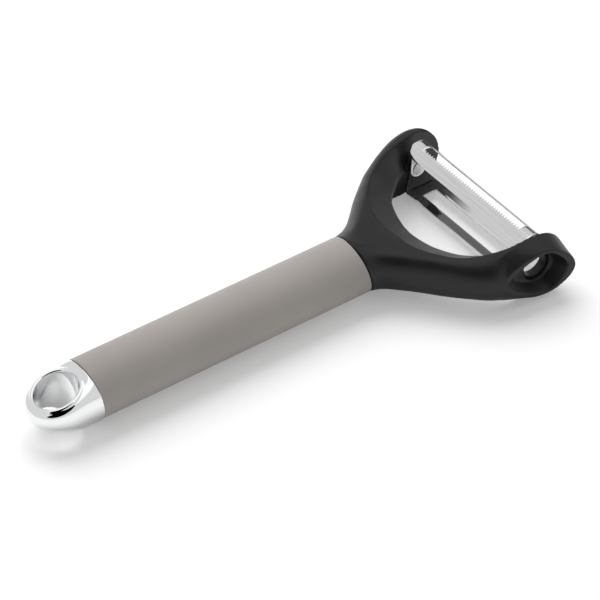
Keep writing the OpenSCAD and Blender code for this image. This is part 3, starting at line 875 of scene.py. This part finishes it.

# %% [markdown]
# The lower blade is a shallow channel, made by the same helpers. Its slot has one plain cutting
# edge, ground thin. At the far end its ear stands just behind the serrated blade's, and at the
# near end just inside it. The far ear gets a second steel, painted near black for its shade.

# %% Plain blade
EAR_GAP = 0.05
PLAIN_SLOT_STEPS = 24
CHANNEL_MIDDLE = 1.95
CHANNEL_FLAT = 4.5
CHANNEL_SIDE = 7.15
CHANNEL = [(-5.2, -8.26), (-4.6, -8.40), (-3.4, -8.64), (-2.2, -8.86), (-1.0, -9.0), (0.5, -9.05),
           (3.4, -9.05), (4.9, -9.0), (6.3, -8.86), (7.6, -8.64), (8.6, -8.40), (9.1, -8.26)]
CHANNEL_SLOT_ROWS = (4, 7)

plain_near = NEAR_END + STEEL + EAR_GAP
plain_far = FAR_END + EAR_GAP + STEEL
plain_columns, plain_slot = blade_columns(
    plain_near, plain_far, [SLOT_NEAR + (SLOT_FAR - SLOT_NEAR) * i / PLAIN_SLOT_STEPS
                            for i in range(1, PLAIN_SLOT_STEPS)])


def channel_shift(i, j):
    """Rounds the channel's four corners."""
    x = CHANNEL[i][0] - CHANNEL_MIDDLE
    pull = corner_pull(x, plain_columns[j], (plain_near, plain_far), CHANNEL_FLAT, CHANNEL_SIDE)
    return -math.copysign(pull, x), 0.0


plain = strip("plain_strip", CHANNEL, plain_columns, CHANNEL_SLOT_ROWS, plain_slot, channel_shift,
              down=-1.0)
plain.data.materials.append(blade_steel)
# The far ear gets the near-black steel, painted shade for the shadow it hangs in.
add_ear(plain, ear_outline(FAR_EAR_RADIUS, top_half=6.8, top_z=-8.6, centre_x=CHANNEL_MIDDLE),
        plain_far - STEEL, FAR_EAR_BORE, painted_shade_steel)
add_ear(plain, ear_outline(NEAR_EAR_RADIUS, top_half=4.6, top_z=-8.0, centre_x=0.8), plain_near,
        NEAR_EAR_BORE)
break_edges(plain, width=0.05, segments=2, sharp_from=50, smooth_to=30)
plain.name = "plain_blade_strip"
finish_piece(plain, "blade_unit", "blade_steel", None, "plain_blade")

# %% [markdown]
# ## Pivots and core
# The far pin and the hollow bush are turned parts with a broken edge, so each is made as on a
# lathe, from round lengths that share one axis. The core stays as the CAD node, because only a
# dark line of it shows in the groove behind the head, and gets its own finish.

# %% Pivot pieces
pin_inner = FAR_END - STEEL - EAR_GAP
pin = pivot_rod("pin_turned", radius=1.5, start=pin_inner - 0.1, end=34.9)
combine(pin, pivot_rod("pin_head", radius=2.4, start=pin_inner - 0.35, end=pin_inner), "UNION")
break_edges(pin, width=0.15, segments=3, sharp_from=40, smooth_to=35)
finish_piece(pin, "blade_unit", "pivot_steel", pivot_steel, "far_pivot_pin")

flange = plain_near + STEEL + EAR_GAP
bush = pivot_rod("bush_moulded", radius=5.4, start=-37.2, end=flange + STEEL)
combine(bush, pivot_rod("bush_flange", radius=6.3, start=flange, end=flange + STEEL), "UNION")
combine(bush, pivot_rod("bush_bore", radius=4.7, start=-38, end=flange + 2), "DIFFERENCE")
break_edges(bush, width=0.15, segments=3, sharp_from=40, smooth_to=35)
finish_piece(bush, "blade_unit", "head_plastic", head_plastic, "near_pivot_bush")

core = frame["nodes"]["handle_core"]
core.data.materials.clear()
core.data.materials.append(core_plastic)
print("core keeps its CAD mesh")

# %% [markdown]
# ## The studio floor
# The photograph was taken on a white sweep. A brighter lamp would whiten the floor but also bleach
# the object, so the floor is made brighter for the camera alone: there a part of its white is
# replaced by a glow, and the object's shadow still falls on the rest.

# %% White floor
FLOOR_Z = -12.55
FLOOR_PLACE = (0.1, 0, FLOOR_Z * MM)
FLOOR_SIZE = 6
FLOOR_WHITE = 0.94
FLOOR_LIFT = 0.25
LIFT_SHARE = 0.9


def calculate(tree, operation, *inputs):
    """A Math node. Each input is a number or another node's output."""
    node = tree.nodes.new("ShaderNodeMath")
    node.operation = operation
    for socket, value in zip(node.inputs, inputs):
        if isinstance(value, (int, float)):
            socket.default_value = value
        else:
            tree.links.new(value, socket)
    return node.outputs["Value"]


clear_selection()
bpy.ops.mesh.primitive_plane_add(size=FLOOR_SIZE, location=FLOOR_PLACE)
floor = bpy.context.object
floor.name = "floor"
floor_paint, tree, shader = new_material("white_floor", Roughness=1.0, Specular_IOR_Level=0.0)
seen = tree.nodes.new("ShaderNodeLightPath").outputs["Is Camera Ray"]
lift = calculate(tree, "MULTIPLY", seen, FLOOR_LIFT)
given_up = calculate(tree, "MULTIPLY", seen, LIFT_SHARE * FLOOR_LIFT)
tree.links.new(calculate(tree, "SUBTRACT", FLOOR_WHITE, given_up), shader.inputs["Base Color"])
glow = tree.nodes.new("ShaderNodeEmission")
both = tree.nodes.new("ShaderNodeAddShader")
tree.links.new(lift, glow.inputs["Strength"])
tree.links.new(shader.outputs["BSDF"], both.inputs[0])
tree.links.new(glow.outputs["Emission"], both.inputs[1])
tree.links.new(both.outputs["Shader"], tree.nodes["Material Output"].inputs["Surface"])
floor.data.materials.append(floor_paint)
print("floor at", FLOOR_Z, "mm")

# %% [markdown]
# ## What the mirrors see
# The world fills in from all sides with one plain white. But a studio is never even in a mirror:
# chrome and steel show a dark flag that stands low behind the blades, a round black card before
# the cap, a bright box overhead and a window to the north. Real cards would take light from the
# rest of the object, so these are drawn in the world by direction, for glossy rays alone. The
# direction comes as three numbers, east along X, north along Y, and up, and a ramp over each
# gives soft edges.

# %% World and ramps
WORLD_LEVEL = 0.55

world = bpy.data.worlds.new("studio")
bpy.context.scene.world = world
world.use_nodes = True
tree = world.node_tree
background = tree.nodes["Background"]
background.inputs["Color"].default_value = (1, 1, 1, 1)
background.inputs["Strength"].default_value = WORLD_LEVEL
facing = tree.nodes.new("ShaderNodeSeparateXYZ")
tree.links.new(tree.nodes.new("ShaderNodeTexCoord").outputs["Generated"], facing.inputs["Vector"])
east, north, up = (facing.outputs[axis] for axis in "XYZ")


def ramp_down(value, edge, width):
    """1 below the edge and 0 above it, with a soft step that reaches a width to each side."""
    below = calculate(tree, "SUBTRACT", edge + width, value)
    share = calculate(tree, "DIVIDE", below, 2 * width)
    return calculate(tree, "MINIMUM", 1.0, calculate(tree, "MAXIMUM", 0.0, share))


def ramp_up(value, edge, width):
    """0 below the edge and 1 above it."""
    return calculate(tree, "SUBTRACT", 1.0, ramp_down(value, edge, width))


print("world ready, even level", WORLD_LEVEL)

# %% [markdown]
# The flag is where two ramps over height leave a band, cut off at its sides. The card is round:
# all directions within an angle of its own. Both take light away, and box and window add some.

# %% Flag, card, box and window
MIRROR_LEVEL = 0.95
FLAG_LEVEL = 0.19
FLAG_BOTTOM, FLAG_TOP, FLAG_EDGE = 0.27, 0.54, 0.05
FLAG_EAST, FLAG_NORTH = 0.3, 0.2
CARD_DIRECTION = Vector((-0.50, -0.52, 0.69)).normalized()
CARD_COSINE = 0.86
BOX_BOTTOM, BOX_EDGE, BOX_GAIN = 0.82, 0.03, 0.5
WINDOW_NORTH, WINDOW_EDGE, WINDOW_EAST, WINDOW_GAIN = 0.8, 0.05, 0.1, 0.9
SIDE_EDGE = 0.1


def add_sum(*terms):
    """The sum of outputs, each times its own number."""
    total = 0.0
    for source, share in terms:
        total = calculate(tree, "ADD", total, calculate(tree, "MULTIPLY", source, share))
    return total


flag_height = calculate(tree, "SUBTRACT", ramp_down(up, FLAG_TOP, FLAG_EDGE),
                        ramp_down(up, FLAG_BOTTOM, FLAG_EDGE))
flag_side = calculate(tree, "MULTIPLY", ramp_up(east, FLAG_EAST, SIDE_EDGE),
                      ramp_up(north, FLAG_NORTH, SIDE_EDGE))
flag = calculate(tree, "MULTIPLY", flag_height, flag_side)
card = calculate(tree, "GREATER_THAN", add_sum(*zip((east, north, up), CARD_DIRECTION)),
                 CARD_COSINE)
shaded = calculate(tree, "MAXIMUM",
                   calculate(tree, "MULTIPLY", flag, 1 - FLAG_LEVEL / MIRROR_LEVEL), card)
window = calculate(tree, "MULTIPLY", ramp_up(north, WINDOW_NORTH, WINDOW_EDGE),
                   ramp_up(east, WINDOW_EAST, SIDE_EDGE))
open_sky = add_sum((ramp_up(up, BOX_BOTTOM, BOX_EDGE), BOX_GAIN), (window, WINDOW_GAIN),
                   (1.0, MIRROR_LEVEL))
mirrored = tree.nodes.new("ShaderNodeBackground")
tree.links.new(calculate(tree, "MULTIPLY", open_sky, calculate(tree, "SUBTRACT", 1.0, shaded)),
               mirrored.inputs["Strength"])
choose = tree.nodes.new("ShaderNodeMixShader")
tree.links.new(tree.nodes.new("ShaderNodeLightPath").outputs["Is Glossy Ray"], choose.inputs[0])
tree.links.new(background.outputs["Background"], choose.inputs[1])
tree.links.new(mirrored.outputs["Background"], choose.inputs[2])
tree.links.new(choose.outputs["Shader"], tree.nodes["World Output"].inputs["Surface"])
print("world of", len(tree.nodes), "nodes")

# %% [markdown]
# ## The lamp
# A wide soft lamp behind the object gives the brighter upper edge of the grip and a soft shadow
# in front. A small lamp would give a hard shadow, which the photograph doesn't have. The wide
# lamp's own mirror image would drown the teeth in white, so mirrors don't see it.

# %% Lamp
KEY_PLACE = Vector((0.25, 0.62, 1.05))
KEY_TARGET = Vector((0.08, 0, 0))
KEY_SIZE = (1.3, 1.0)
KEY_POWER = 14

lamp = bpy.data.lights.new("key", "AREA")
lamp.shape = "RECTANGLE"
lamp.size, lamp.size_y = KEY_SIZE
lamp.energy = KEY_POWER
key = add_object("key", lamp)
aim(key, KEY_PLACE, KEY_TARGET)
key.visible_glossy = False
print("lamp of", KEY_POWER, "W,", round((KEY_TARGET - KEY_PLACE).length, 2), "m away")

# %% [markdown]
# Beside the thin arm hangs a small flag of black gauze that fades out upwards. The flag in the
# world stands far away and darkens both blades alike, while this one is near and darkens only the
# end of the blade that faces it. Only glossy rays meet it, so it isn't seen and has no shadow.

# %% Small flag of gauze
FLAG_OUTLINE = [(178.5, -6), (199, -6), (199, 31), (186, 31), (184.5, 12), (178.5, 12)]
FLAG_Y = 38.2
GAUZE_ALPHA = 0.9
FADE_FROM, FADE_TO = 15, 31

mesh = bpy.data.meshes.new("small_flag")
mesh.from_pydata([Vector((x, FLAG_Y, z)) * MM for x, z in FLAG_OUTLINE], [],
                 [range(len(FLAG_OUTLINE))])
small_flag = add_object("small_flag", mesh)
gauze, tree, shader = new_material("black_gauze", Base_Color=(0, 0, 0, 1), Roughness=1.0,
                                   Specular_IOR_Level=0.0)
height = tree.nodes.new("ShaderNodeSeparateXYZ")
tree.links.new(tree.nodes.new("ShaderNodeTexCoord").outputs["Object"], height.inputs["Vector"])
fade = tree.nodes.new("ShaderNodeMapRange")
fade_ends = {"From Min": FADE_FROM * MM, "From Max": FADE_TO * MM,
             "To Min": GAUZE_ALPHA, "To Max": 0}
for socket, value in fade_ends.items():
    fade.inputs[socket].default_value = value
tree.links.new(height.outputs["Z"], fade.inputs["Value"])
tree.links.new(fade.outputs["Result"], shader.inputs["Alpha"])
small_flag.data.materials.append(gauze)
small_flag.visible_camera = False
small_flag.visible_diffuse = False
small_flag.visible_transmission = False
small_flag.visible_shadow = False
print("small flag at y", FLAG_Y, "mm")
